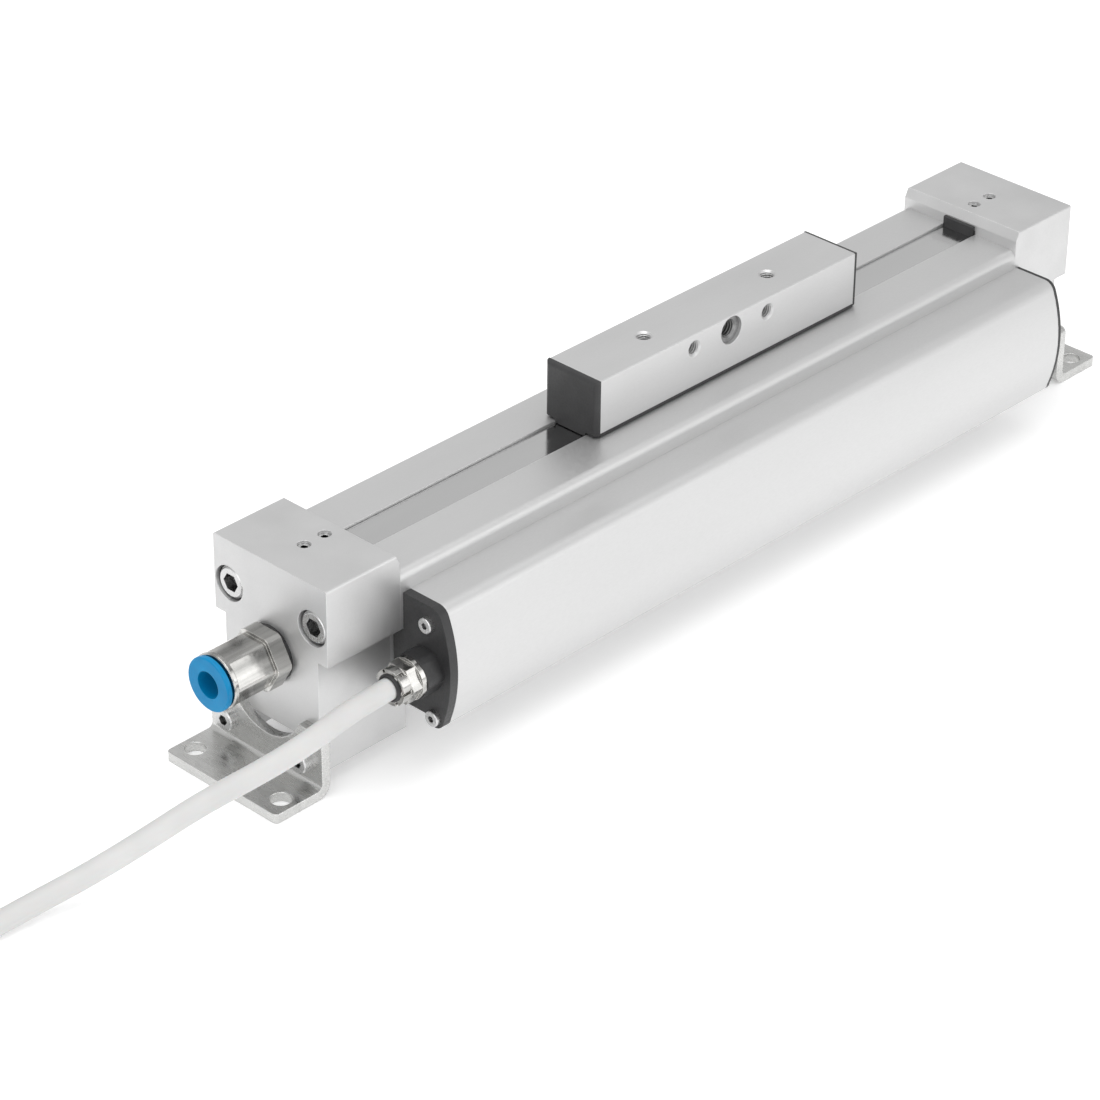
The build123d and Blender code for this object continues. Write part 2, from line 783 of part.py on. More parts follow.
# Screws that hold the piston heads on the driver
with BuildPart() as piston_screw:
    add_screws(
        Plane(
            origin=(nose_x + piston_screw_head_height, 0, axis_height),
            x_dir=(0, -1, 0),
            z_dir=(-1, 0, 0),
        ),
        [(0, -piston_screw_drop)],
        piston_screw_radius,
        piston_half_length - piston_screw_head_height - driver_half_length + piston_screw_grip,
        piston_screw_head_radius,
        piston_screw_head_height,
        piston_screw_socket,
        piston_screw_head_height / 2,
    )
keep_pair("piston_screw", piston_screw, carriage_section)


def encoder_section(x):
    # Section of the encoder housing: follows the barrel's side, bulges outwards, lug for a screw.
    with BuildSketch(Plane.YZ.offset(x)) as section:
        with BuildLine():
            belly = ThreePointArc(
                (-housing_top_reach, housing_top),
                (-housing_reach, housing_belly_height),
                (-housing_bottom_reach, housing_bottom),
            )
            Polyline(
                belly @ 1,
                (-waist, housing_bottom),
                (-waist, shoulder_height),
                (-flank, shoulder_height),
                (-flank, housing_top),
                belly @ 0,
            )
        make_face()
        fillet(vertices().group_by(Axis.Y)[-1].sort_by(Axis.X)[0], radius=housing_corner)
        with Locations(lower_screw):
            Circle(lug_radius)
    return section.sketch


def cut_plate_screw_holes(x, radius, depth):
    # In a part: holes for the plate screws, from x inwards both ways.
    with BuildSketch(Plane.YZ.offset(x)) as holes:
        with Locations(upper_screw, lower_screw):
            Circle(radius)
    extrude(holes.sketch, amount=depth, both=True, mode=Mode.SUBTRACT)


# Encoder housing: an extrusion along the barrel with a chamber for the sensor and its board
with BuildPart() as encoder_housing:
    extrude(encoder_section(housing_front), amount=housing_length)
    with BuildSketch(Plane.YZ.offset(housing_front)):
        with Locations(((chamber_near + chamber_far) / 2, (chamber_low + chamber_high) / 2)):
            RectangleRounded(chamber_near - chamber_far, chamber_high - chamber_low, chamber_corner)
        with Locations(((chamber_near + chamber_far) / 2, board_height)):
            Rectangle(chamber_near - chamber_far + 2 * board_groove, board_thickness + 2 * board_play)
    extrude(amount=housing_length, mode=Mode.SUBTRACT)
    cut_plate_screw_holes(encoder_front, plate_screw_radius, plate_screw_reach)
    cut_plate_screw_holes(encoder_rear, plate_screw_radius, plate_screw_reach)
keep("encoder_housing", encoder_housing)

# Sensor tube: senses the magnets in the piston through the side of the barrel
with BuildPart() as sensor_tube:
    with BuildSketch(Plane.YZ.offset(housing_front)):
        with Locations((sensor_offset, sensor_height)):
            Circle(sensor_radius)
    extrude(amount=housing_length)
keep("sensor_tube", sensor_tube)

# Circuit board of the encoder, in the grooves of the chamber
with BuildPart() as encoder_board:
    board_width = chamber_near - chamber_far + 2 * (board_groove - board_play)
    board_x = housing_front + board_length / 2
    with BuildSketch(Plane.XY.offset(board_height - board_thickness / 2)):
        with Locations((board_x, (chamber_near + chamber_far) / 2)):
            Rectangle(board_length, board_width)
    extrude(amount=board_thickness)
    with BuildSketch(Plane.XY.offset(board_height + board_thickness / 2)):
        with Locations((board_x, (chamber_near + chamber_far) / 2)):
            with GridLocations(chip_spacing, 0, chip_count, 1):
                Rectangle(chip_length, board_width / 2)
    extrude(amount=board_thickness)
keep("encoder_board", encoder_board)

# End plates of the encoder; the front one carries the gland
with BuildPart() as encoder_plate_front:
    extrude(encoder_section(encoder_front), amount=front_plate_thickness)
    cut_plate_screw_holes(encoder_front, plate_screw_radius + free_fit, front_plate_thickness)
    with BuildSketch(Plane.YZ.offset(encoder_front)):
        with Locations((gland_y, gland_height)):
            Circle(gland_shank_radius + close_fit)
    extrude(amount=front_plate_thickness, mode=Mode.SUBTRACT)
keep("encoder_plate_front", encoder_plate_front)

with BuildPart() as encoder_plate_rear:
    extrude(encoder_section(encoder_rear), amount=-rear_plate_thickness)
    cut_plate_screw_holes(encoder_rear, plate_screw_radius + free_fit, rear_plate_thickness)
keep("encoder_plate_rear", encoder_plate_rear)

# Screws of the encoder's end plates
with BuildPart() as encoder_screws:
    add_screws(
        Plane(origin=(encoder_front, 0, 0), x_dir=(0, -1, 0), z_dir=(-1, 0, 0)),
        [(-upper_screw[0], upper_screw[1]), (-lower_screw[0], lower_screw[1])],
        plate_screw_radius,
        plate_screw_reach,
        plate_screw_head_radius,
        plate_screw_head_height,
        plate_screw_socket,
        plate_screw_head_height / 2,
    )
keep_pair("encoder_screws", encoder_screws, Plane.YZ.offset((encoder_front + encoder_rear) / 2))

# Gland: black hexagonal body through the end plate
gland_plane = Plane(origin=(encoder_front, gland_y, gland_height), x_dir=(0, -1, 0), z_dir=(-1, 0, 0))
with BuildPart() as gland_body:
    with BuildSketch(gland_plane):
        RegularPolygon(boss_width / 2, 6, major_radius=False)
        Circle(boss_corner_radius, mode=Mode.INTERSECT)
    extrude(amount=boss_length)
    with BuildSketch(gland_plane):
        Circle(gland_shank_radius)
    extrude(amount=-(front_plate_thickness + gland_wall))
    with Locations(gland_plane.offset(boss_length)):
        Hole(gland_shank_radius - gland_wall, boss_length + front_plate_thickness + gland_wall)
keep("gland_body", gland_body)

# Gland nut: flange, hexagon and slotted collar that grips the cable
with BuildPart() as gland_nut:
    nut_plane = gland_plane.offset(boss_length)
    with BuildSketch(nut_plane):
        Circle(gland_flange_radius)
    extrude(amount=gland_flange_length)
    with BuildSketch(nut_plane):
        RegularPolygon(gland_nut_width / 2, 6, major_radius=False)
    extrude(amount=gland_flange_length + gland_hex_length)
    with BuildSketch(nut_plane):
        Circle(gland_nut_width / 2)
    extrude(amount=gland_flange_length + gland_nut_length)
    with BuildSketch(nut_plane.offset(gland_flange_length + gland_nut_length)):
        with PolarLocations(gland_nut_width / 2, gland_slot_count):
            Rectangle(gland_wall, gland_wall / 2)
    extrude(amount=-gland_slot_length, mode=Mode.SUBTRACT)
    with BuildSketch(nut_plane.offset(gland_flange_length + gland_nut_length)):
        Circle(cable_radius + close_fit)
    extrude(amount=-gland_nut_length / 2, mode=Mode.SUBTRACT)
keep("gland_nut", gland_nut)


def port_disc(start, length, radius, across=0.0, mode=Mode.ADD):
    # In a part: a disc on the port's axis, or a hexagon whose corners the radius rounds off.
    with BuildSketch(port_plane.offset(start)) as disc:
        Circle(radius)
        if across > 0:
            RegularPolygon(across / 2, 6, major_radius=False, mode=Mode.INTERSECT)
    extrude(disc.sketch, amount=length, mode=mode)


# Push-in fitting in the front port; lengths count outwards from the face of the cap
port_plane = Plane(origin=(-cap_face, 0, axis_height), x_dir=(0, -1, 0), z_dir=(-1, 0, 0))
fitting_rim_start = fitting_length - fitting_rim_length
ring_start = fitting_length + release_ring_travel
fitting_face = ring_start + release_ring_flange
sleeve_end = fitting_face - release_sleeve_length
grip_start = sleeve_end - release_ring_travel - grip_ring_length
tube_seal_start = grip_start - tube_seal_length
with BuildPart() as fitting_body:
    shank_length = fitting_seat_thickness + fitting_thread_length
    port_disc(-fitting_thread_length, shank_length, port_tap_radius - spigot_clearance)
    port_disc(fitting_seat_thickness, fitting_base_length, fitting_base_corner, fitting_base_width)
    base_end = fitting_seat_thickness + fitting_base_length
    port_disc(base_end, fitting_rim_start - base_end, fitting_hex_corner, fitting_hex_width)
    port_disc(fitting_rim_start, fitting_rim_length, fitting_rim_radius)
    chamfer(edges().group_by(Axis.X)[0], length=fitting_rim_length / 4)
    whole_length = fitting_length + fitting_thread_length
    port_disc(-fitting_thread_length, whole_length, fitting_passage_radius, mode=Mode.SUBTRACT)
    port_disc(fitting_face - tube_stop, tube_stop, tube_radius, mode=Mode.SUBTRACT)
    port_disc(tube_seal_start, tube_stop, fitting_bore_radius, mode=Mode.SUBTRACT)
keep("fitting_body", fitting_body)

# Flat seal under the fitting
with BuildPart() as fitting_seal:
    port_disc(0, fitting_seat_thickness, fitting_base_width / 2)
    port_disc(0, fitting_seat_thickness, port_tap_radius - spigot_clearance, mode=Mode.SUBTRACT)
keep("fitting_seal", fitting_seal)

# Seal and toothed ring that hold the tube inside the fitting
with BuildPart() as tube_seal:
    port_disc(tube_seal_start, tube_seal_length, fitting_bore_radius)
    port_disc(tube_seal_start, tube_seal_length, tube_radius, mode=Mode.SUBTRACT)
keep("tube_seal", tube_seal)

with BuildPart() as grip_ring:
    port_disc(grip_start, grip_ring_length, fitting_bore_radius)
    port_disc(grip_start, grip_ring_length, tube_radius, mode=Mode.SUBTRACT)
    bevel_edge = edges().filter_by(GeomType.CIRCLE).group_by(Axis.X)[0].sort_by(SortBy.RADIUS)[0]
    chamfer(bevel_edge, length=grip_ring_length / 3)
keep("grip_ring", grip_ring)

# Release ring: pressed in to let the tube go
with BuildPart() as release_ring:
    port_disc(ring_start, release_ring_flange, release_ring_radius)
    fillet(edges().group_by(Axis.X)[0], radius=release_ring_flange / 3)
    port_disc(sleeve_end, release_sleeve_length - release_ring_flange / 2, release_sleeve_radius)
    port_disc(sleeve_end, release_sleeve_length, tube_radius, mode=Mode.SUBTRACT)
keep("release_ring", release_ring)

# Foot: angle bracket under each cap, notched for the port, two holes to bolt it down
with BuildPart() as foot:
    with BuildSketch(Plane.XZ):
        with BuildLine():
            Polyline(
                (-cap_face, 0),
                (-cap_face, foot_height),
                (-cap_face - foot_thickness, foot_height),
                (-cap_face - foot_thickness, foot_thickness),
                (-cap_face - foot_reach, foot_thickness),
                (-cap_face - foot_reach, 0),
                close=True,
            )
        make_face()
        outer_bend = vertices().sort_by_distance((-cap_face, 0))[0]
        fillet(outer_bend, radius=foot_inner_bend + foot_thickness)
        inner_bend = vertices().sort_by_distance((-cap_face - foot_thickness, foot_thickness))[0]
        fillet(inner_bend, radius=foot_inner_bend)
    extrude(amount=foot_width / 2, both=True)
    fillet(edges().filter_by(Axis.X).group_by(Axis.Z)[-1], radius=foot_ear_corner)
    fillet(edges().filter_by(Axis.Z).group_by(Axis.X)[0], radius=foot_plate_corner)
    notch_centre = foot_notch_bottom + foot_notch_radius
    with BuildSketch(front_plane):
        with Locations((0, notch_centre)):
            Circle(foot_notch_radius)
            Rectangle(2 * foot_notch_radius, foot_height, align=(Align.CENTER, Align.MIN))
    extrude(amount=2 * foot_thickness, both=True, mode=Mode.SUBTRACT)
    with Locations(Plane.XY.offset(foot_thickness)):
        with Locations((-cap_face - foot_hole_distance, 0)):
            with GridLocations(0, foot_hole_spacing, 1, 2):
                Hole(foot_hole_radius, foot_thickness)
    with Locations(front_plane.offset(foot_thickness)):
        with Locations(*foot_screw_places):
            Hole(foot_screw_radius + screw_clearance, foot_thickness)
keep_pair("foot", foot, Plane.YZ)

# Screws that hold each foot on the legs of the cap
with BuildPart() as foot_screws:
    add_screws(
        front_plane.offset(foot_thickness),
        foot_screw_places,
        foot_screw_radius,
        foot_thickness + foot_screw_reach,
        foot_screw_head_radius,
        foot_screw_head_height,
        foot_screw_socket,
        foot_screw_head_height / 2,
    )
keep_pair("foot_screws", foot_screws, Plane.YZ)


def cable_tube(name, points):
    # Straight runs joined by tangent arcs, each arc as large as its two runs allow.
    vectors = [Vector(*point) for point in points]
    runs = [after - before for before, after in zip(vectors, vectors[1:])]
    radii = []
    for before, after in zip(runs, runs[1:]):
        half_turn = math.radians(before.get_angle(after)) / 2
        radii.append(arc_share * min(before.length, after.length) / math.tan(half_turn))
    with BuildPart() as tube:
        with BuildLine():
            route = FilletPolyline(*points, radius=radii)
        with BuildSketch(Plane(origin=route @ 0, z_dir=route % 0)) as section:
            Circle(cable_radius)
        sweep(section.sketch, path=route)
    swept = section.sketch.area * route.length
    print(name, "radii", [round(radius, 1) for radius in radii], "length", round(route.length, 1))
    print(name, "volume", round(tube.part.volume, 1), "section times length", round(swept, 1))
    keep(name, tube)
    return route


# Encoder cable: out of the gland, down to the floor and on to the coil
cable_start = encoder_front - boss_length - gland_flange_length - gland_nut_length / 2
turn_radius = coil_radius + cable_radius
lead_end = (coil_centre[0] + lead_length, coil_centre[1] - turn_radius, cable_radius)
encoder_cable = cable_tube("encoder_cable", [
    (cable_start, gland_y, gland_height),
    (-160.0, gland_y, gland_height),
    (-180.0, -33.6, 31.2),
    (-194.7, -31.2, 28.0),
    (-211.0, -24.8, 22.5),
    (-226.4, -19.2, 15.6),
    (-241.0, -13.4, 9.2),
    (-256.0, -8.4, 4.9),
    (-277.0, lead_end[1], cable_radius),
    lead_end,
])


def across_coil(angle):
    # Plane through the axis of the coil, its x pointing outwards at this angle.
    turn = math.radians(angle)
    outwards = (math.cos(turn), math.sin(turn), 0)
    return Plane(origin=(*coil_centre, 0), x_dir=outwards, z_dir=(outwards[1], -outwards[0], 0))


# Rest of the cable, as a coil that lies on the floor with both ends leading out of it
with BuildPart() as cable_coil:
    coil_plane = across_coil(0)
    coil_axis = Axis((*coil_centre, 0), (0, 0, 1))
    coil_width = 2 * cable_radius * coil_columns
    coil_height = 2 * cable_radius * coil_layers
    tie_planes = [across_coil(angle) for angle in tie_angles]
    with BuildSketch(coil_plane):
        with Locations((coil_radius, coil_height / 2)):
            RectangleRounded(coil_width, coil_height, cable_radius)
    revolve(axis=coil_axis)
    with BuildSketch(Plane(origin=(*lead_end,), z_dir=(-1, 0, 0))):
        Circle(cable_radius)
    extrude(amount=lead_length)
    tail_start = (coil_centre[0] + lead_length, coil_centre[1] + turn_radius, 3 * cable_radius)
    with BuildSketch(Plane(origin=tail_start, z_dir=(-1, 0, 0))):
        Circle(cable_radius)
    extrude(amount=lead_length)
    for plane in tie_planes:
        with BuildSketch(plane):
            with Locations((coil_radius, coil_height / 2)):
                Rectangle(coil_width + 2 * tie_thickness, coil_height + 2 * tie_thickness)
                RectangleRounded(
                    coil_width - 2 * tie_thickness,
                    coil_height - 2 * tie_thickness,
                    cable_radius - tie_thickness,
                    mode=Mode.SUBTRACT,
                )
        extrude(amount=tie_width / 2, both=True, mode=Mode.SUBTRACT)
keep("cable_coil", cable_coil)

# Ties that hold the coil together
with BuildPart() as coil_ties:
    for plane in tie_planes:
        with BuildSketch(plane):
            with Locations((coil_radius, coil_height / 2)):
                RectangleRounded(coil_width, coil_height, cable_radius)
                RectangleRounded(
                    coil_width - 2 * tie_thickness,
                    coil_height - 2 * tie_thickness,
                    cable_radius - tie_thickness,
                    mode=Mode.SUBTRACT,
                )
        extrude(amount=tie_width / 2, both=True)
keep("coil_ties", coil_ties)

# Short end of the cable, from the coil to its connector
tail_route = cable_tube("cable_tail", [
    tail_start,
    (tail_start[0] + 11.5, tail_start[1], tail_start[2]),
    (tail_start[0] + 23.5, tail_start[1] - 1.9, connector_shell_radius),
    (tail_start[0] + 35.0, tail_start[1] - 3.3, connector_shell_radius),
])

# Connector: moulded grip and round metal shell with its pins
connector_plane = Plane(origin=tail_route @ 1, z_dir=tail_route % 1)
with BuildPart() as connector_grip:
    with BuildSketch(connector_plane):
        Circle(connector_grip_radius)
    extrude(amount=connector_grip_length)
    fillet(edges().group_by(Axis.X)[0], radius=cable_radius / 2)
    with BuildSketch(connector_plane.offset(grip_groove_start)):
        with PolarLocations(connector_grip_radius, grip_groove_count):
            Circle(grip_groove_radius)
    extrude(amount=grip_groove_length, mode=Mode.SUBTRACT)
keep("connector_grip", connector_grip)

with BuildPart() as connector_shell:
    shell_plane = connector_plane.offset(connector_grip_length)
    with BuildSketch(shell_plane):
        Circle(connector_shell_radius)
    extrude(amount=connector_shell_length)
    with BuildSketch(shell_plane.offset(connector_shell_length)):
        Circle(connector_shell_radius - connector_shell_wall)
    extrude(amount=-(pin_length + connector_shell_wall), mode=Mode.SUBTRACT)
    with BuildSketch(shell_plane.offset(connector_shell_length - connector_shell_wall)):
        with PolarLocations(pin_circle_radius, pin_count):
            Circle(pin_radius)
    extrude(amount=-(pin_length + connector_shell_wall))
keep("connector_shell", connector_shell)

print(len(pieces), "pieces")
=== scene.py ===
import json
import math

import bmesh
import bpy
from mathutils import Matrix, Vector


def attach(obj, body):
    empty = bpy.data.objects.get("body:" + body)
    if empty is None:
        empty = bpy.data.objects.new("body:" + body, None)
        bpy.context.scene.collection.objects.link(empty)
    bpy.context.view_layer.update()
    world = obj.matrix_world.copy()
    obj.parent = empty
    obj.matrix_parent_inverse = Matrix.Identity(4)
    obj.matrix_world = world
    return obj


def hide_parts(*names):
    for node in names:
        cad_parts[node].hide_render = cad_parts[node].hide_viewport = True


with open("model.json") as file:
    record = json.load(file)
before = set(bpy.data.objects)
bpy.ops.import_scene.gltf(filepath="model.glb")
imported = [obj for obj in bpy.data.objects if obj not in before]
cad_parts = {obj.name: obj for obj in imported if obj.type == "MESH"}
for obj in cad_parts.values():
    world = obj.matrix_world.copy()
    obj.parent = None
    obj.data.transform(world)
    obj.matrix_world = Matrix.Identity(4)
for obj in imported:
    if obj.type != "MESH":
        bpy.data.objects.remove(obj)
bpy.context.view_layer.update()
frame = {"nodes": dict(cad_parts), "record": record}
nodes = frame["nodes"]
print("frame loaded with", len(nodes), "nodes")


# camera, where the picture was taken from
cameraSetup = {
    "azimuth": -46.508,  # degrees round from -Y
    "elevation": 31.45,
    "roll": 0.593,
    "aimRight": -0.03579,  # metres from the origin, in the picture's own directions
    "aimUp": -0.00117,
    "distance": 1.2354,
    "lens": 133.1,
    "sensor": 36.0,
}


def makeCamera(setup):
    azimuth = math.radians(setup["azimuth"])
    elevation = math.radians(setup["elevation"])
    roll = math.radians(setup["roll"])
    into = Vector((
        -math.sin(azimuth) * math.cos(elevation),
        math.cos(azimuth) * math.cos(elevation),
        -math.sin(elevation),
    ))
    level = Vector((math.cos(azimuth), math.sin(azimuth), 0))
    upright = level.cross(into)
    right = math.cos(roll) * level + math.sin(roll) * upright
    up = math.cos(roll) * upright - math.sin(roll) * level
    camera = bpy.data.objects.new("camera", bpy.data.cameras.new("camera"))
    bpy.context.scene.collection.objects.link(camera)
    camera.data.lens = setup["lens"]
    camera.data.sensor_width = setup["sensor"]
    place = right * setup["aimRight"] + up * setup["aimUp"] - into * setup["distance"]
    turned = Matrix((right, up, -into)).transposed().to_4x4()
    camera.matrix_world = Matrix.Translation(place) @ turned
    bpy.context.scene.camera = camera


makeCamera(cameraSetup)
print("camera placed")

# studio: pale floor, soft lights and an even sky
studioSetup = {
    "floorSize": 14.0,
    "floorColour": (0.90, 0.90, 0.90, 1),
    "floorRoughness": 0.75,
    "floorGlow": 0.27,  # a lit table, so that the underside isn't dark
    "skyLow": 0.95,
    "skyHigh": 0.80,
    "skyStrength": 0.82,
    "softboxes": [
        # name, place, aimed at, size, power
        ("overhead", (-0.2, -0.1, 1.5), (0.0, 0.0, 0.0), 1.4, 11.0),
        ("leftFront", (-1.4, -0.5, 0.7), (0.0, 0.0, 0.04), 1.1, 4.5),
        ("rightFront", (0.5, -1.5, 0.7), (0.0, 0.0, 0.04), 1.1, 5.0),
    ],
}


def makeStudio(setup):
    half = setup["floorSize"] / 2
    corners = [(-half, -half, 0), (half, -half, 0), (half, half, 0), (-half, half, 0)]
    floorMesh = bpy.data.meshes.new("floor")
    floorMesh.from_pydata(corners, [], [(0, 1, 2, 3)])
    floor = bpy.data.objects.new("floor", floorMesh)
    bpy.context.scene.collection.objects.link(floor)
    paint = bpy.data.materials.new("floorPaint")
    paint.use_nodes = True
    shader = paint.node_tree.nodes["Principled BSDF"]
    shader.inputs["Base Color"].default_value = setup["floorColour"]
    shader.inputs["Roughness"].default_value = setup["floorRoughness"]
    shader.inputs["Emission Color"].default_value = setup["floorColour"]
    shader.inputs["Emission Strength"].default_value = setup["floorGlow"]
    floorMesh.materials.append(paint)

    for name, place, target, size, power in setup["softboxes"]:
        lamp = bpy.data.lights.new(name, "AREA")
        lamp.size = size
        lamp.energy = power
        box = bpy.data.objects.new(name, lamp)
        bpy.context.scene.collection.objects.link(box)
        aim = (Vector(target) - Vector(place)).to_track_quat("-Z", "Y")
        box.matrix_world = Matrix.Translation(place) @ aim.to_matrix().to_4x4()

    world = bpy.data.worlds.new("studio")
    world.use_nodes = True
    bpy.context.scene.world = world
    tree = world.node_tree
    where = tree.nodes.new("ShaderNodeTexCoord")
    split = tree.nodes.new("ShaderNodeSeparateXYZ")
    fade = tree.nodes.new("ShaderNodeMapRange")
    fade.inputs["From Max"].default_value = 1.0
    fade.inputs["To Min"].default_value = setup["skyLow"]
    fade.inputs["To Max"].default_value = setup["skyHigh"]
    background = tree.nodes["Background"]
    background.inputs["Strength"].default_value = setup["skyStrength"]
    tree.links.new(where.outputs["Generated"], split.inputs[0])
    tree.links.new(split.outputs["Z"], fade.inputs["Value"])
    tree.links.new(fade.outputs[0], background.inputs["Color"])


makeStudio(studioSetup)
bpy.context.scene.view_settings.view_transform = "Standard"
print("studio made")


# shader groups that several finishes use
groupSetup = {
    "toneDetail": 3.0,
    "toneSpread": (0.3, 0.7),  # part of the noise that runs from the dark tone to the light one
    "edgeSamples": 4,
    "edgeSpread": (0.999, 0.86),  # from flat to sharp, as the cosine between the two normals
    "shadeSamples": 6,
    "shadeSpread": (0.62, 0.25),  # from open to deep
}


def newGroup(name, inputs, outputs):
    group = bpy.data.node_groups.new(name, "ShaderNodeTree")
    for label, kind, value in inputs:
        group.interface.new_socket(label, in_out="INPUT", socket_type=kind).default_value = value
    for label, kind in outputs:
        group.interface.new_socket(label, in_out="OUTPUT", socket_type=kind)
    entry = group.nodes.new("NodeGroupInput").outputs
    result = group.nodes.new("NodeGroupOutput").inputs
    return group, entry, result


def makeGrainGroup():
    # even or stretched grain in the object's own coordinates
    group, entry, result = newGroup(
        "surfaceGrain",
        [
            ("Scale", "NodeSocketFloat", 1500.0),
            ("Stretch", "NodeSocketVector", (1, 1, 1)),
            ("Detail", "NodeSocketFloat", 2.0),
            ("Low", "NodeSocketFloat", 0.3),
            ("High", "NodeSocketFloat", 0.7),
        ],
        [("Value", "NodeSocketFloat")],
    )
    where = group.nodes.new("ShaderNodeTexCoord")
    stretch = group.nodes.new("ShaderNodeMapping")
    noise = group.nodes.new("ShaderNodeTexNoise")
    spread = group.nodes.new("ShaderNodeMapRange")
    link = group.links.new
    link(where.outputs["Object"], stretch.inputs["Vector"])
    link(entry["Stretch"], stretch.inputs["Scale"])
    link(stretch.outputs[0], noise.inputs["Vector"])
    link(entry["Scale"], noise.inputs["Scale"])
    link(entry["Detail"], noise.inputs["Detail"])
    link(noise.outputs["Fac"], spread.inputs["Value"])
    link(entry["Low"], spread.inputs["From Min"])
    link(entry["High"], spread.inputs["From Max"])
    link(spread.outputs[0], result["Value"])
    return group


def makeEdgeGroup():
    # soft rounding of edges, and a mask that is bright along them; the mask lightens edges, partly as
    # wear and partly as a painted highlight
    group, entry, result = newGroup(
        "softEdges",
        [("Radius", "NodeSocketFloat", 0.0003)],
        [("Normal", "NodeSocketVector"), ("Mask", "NodeSocketFloat")],
    )
    bevel = group.nodes.new("ShaderNodeBevel")
    bevel.samples = groupSetup["edgeSamples"]
    geometry = group.nodes.new("ShaderNodeNewGeometry")
    compare = group.nodes.new("ShaderNodeVectorMath")
    compare.operation = "DOT_PRODUCT"
    spread = group.nodes.new("ShaderNodeMapRange")
    low, high = groupSetup["edgeSpread"]
    spread.inputs["From Min"].default_value = low
    spread.inputs["From Max"].default_value = high
    link = group.links.new
    link(entry["Radius"], bevel.inputs["Radius"])
    link(bevel.outputs[0], compare.inputs[0])
    link(geometry.outputs["Normal"], compare.inputs[1])
    link(compare.outputs["Value"], spread.inputs["Value"])
    link(bevel.outputs[0], result["Normal"])
    link(spread.outputs[0], result["Mask"])
    return group


def makeTintGroup():
    # slow drift between two tones of one colour
    group, entry, result = newGroup(
        "toneDrift",
        [
            ("Dark", "NodeSocketColor", (0.5, 0.5, 0.5, 1)),
            ("Light", "NodeSocketColor", (0.6, 0.6, 0.6, 1)),
            ("Scale", "NodeSocketFloat", 20.0),
            ("Stretch", "NodeSocketVector", (1, 1, 1)),
        ],
        [("Color", "NodeSocketColor"), ("Value", "NodeSocketFloat")],
    )
    where = group.nodes.new("ShaderNodeTexCoord")
    stretch = group.nodes.new("ShaderNodeMapping")
    noise = group.nodes.new("ShaderNodeTexNoise")
    noise.inputs["Detail"].default_value = groupSetup["toneDetail"]
    spread = group.nodes.new("ShaderNodeMapRange")
    low, high = groupSetup["toneSpread"]
    spread.inputs["From Min"].default_value = low
    spread.inputs["From Max"].default_value = high
    mix = group.nodes.new("ShaderNodeMix")
    mix.data_type = "RGBA"
    link = group.links.new
    link(where.outputs["Object"], stretch.inputs["Vector"])
    link(entry["Stretch"], stretch.inputs["Scale"])
    link(stretch.outputs[0], noise.inputs["Vector"])
    link(entry["Scale"], noise.inputs["Scale"])
    link(noise.outputs["Fac"], spread.inputs["Value"])
    link(spread.outputs[0], mix.inputs["Factor"])
    link(entry["Dark"], mix.inputs["A"])
    link(entry["Light"], mix.inputs["B"])
    link(mix.outputs["Result"], result["Color"])
    link(spread.outputs[0], result["Value"])
    return group


def makeCrystalGroup():
    # flat patches, each of its own tone, like the crystals of a zinc coat
    group, entry, result = newGroup(
        "crystalPatches",
        [
            ("Scale", "NodeSocketFloat", 300.0),
            ("Stretch", "NodeSocketVector", (1, 1, 1)),
        ],
        [("Value", "NodeSocketFloat")],
    )
    where = group.nodes.new("ShaderNodeTexCoord")
    stretch = group.nodes.new("ShaderNodeMapping")
    cells = group.nodes.new("ShaderNodeTexVoronoi")
    split = group.nodes.new("ShaderNodeSeparateColor")
    link = group.links.new
    link(where.outputs["Object"], stretch.inputs["Vector"])
    link(entry["Stretch"], stretch.inputs["Scale"])
    link(stretch.outputs[0], cells.inputs["Vector"])
    link(entry["Scale"], cells.inputs["Scale"])
    link(cells.outputs["Color"], split.inputs[0])
    link(split.outputs[0], result["Value"])
    return group


def makeCavityShadeGroup():
    # a mask for painted shade: bright in sockets and holes, where little light comes in
    group, entry, result = newGroup(
        "paintedCavityShade",
        [("Reach", "NodeSocketFloat", 0.002)],
        [("Value", "NodeSocketFloat")],
    )
    shade = group.nodes.new("ShaderNodeAmbientOcclusion")
    shade.samples = groupSetup["shadeSamples"]
    shade.only_local = True
    spread = group.nodes.new("ShaderNodeMapRange")
    low, high = groupSetup["shadeSpread"]
    spread.inputs["From Min"].default_value = low
    spread.inputs["From Max"].default_value = high
    link = group.links.new
    link(entry["Reach"], shade.inputs["Distance"])
    link(shade.outputs["AO"], spread.inputs["Value"])
    link(spread.outputs[0], result["Value"])
    return group


groups = {
    "grain": makeGrainGroup(),
    "cavityShade": makeCavityShadeGroup(),
    "edges": makeEdgeGroup(),
    "tone": makeTintGroup(),
    "crystals": makeCrystalGroup(),
}
print("shader groups made")


def placeGroup(tree, kind, **values):
    node = tree.nodes.new("ShaderNodeGroup")
    node.node_tree = groups[kind]
    for name, value in values.items():
        node.inputs[name].default_value = value
    return node


def spreadTo(tree, source, low, high):
    node = tree.nodes.new("ShaderNodeMapRange")
    node.inputs["To Min"].default_value = low
    node.inputs["To Max"].default_value = high
    tree.links.new(source, node.inputs["Value"])
    return node.outputs[0]


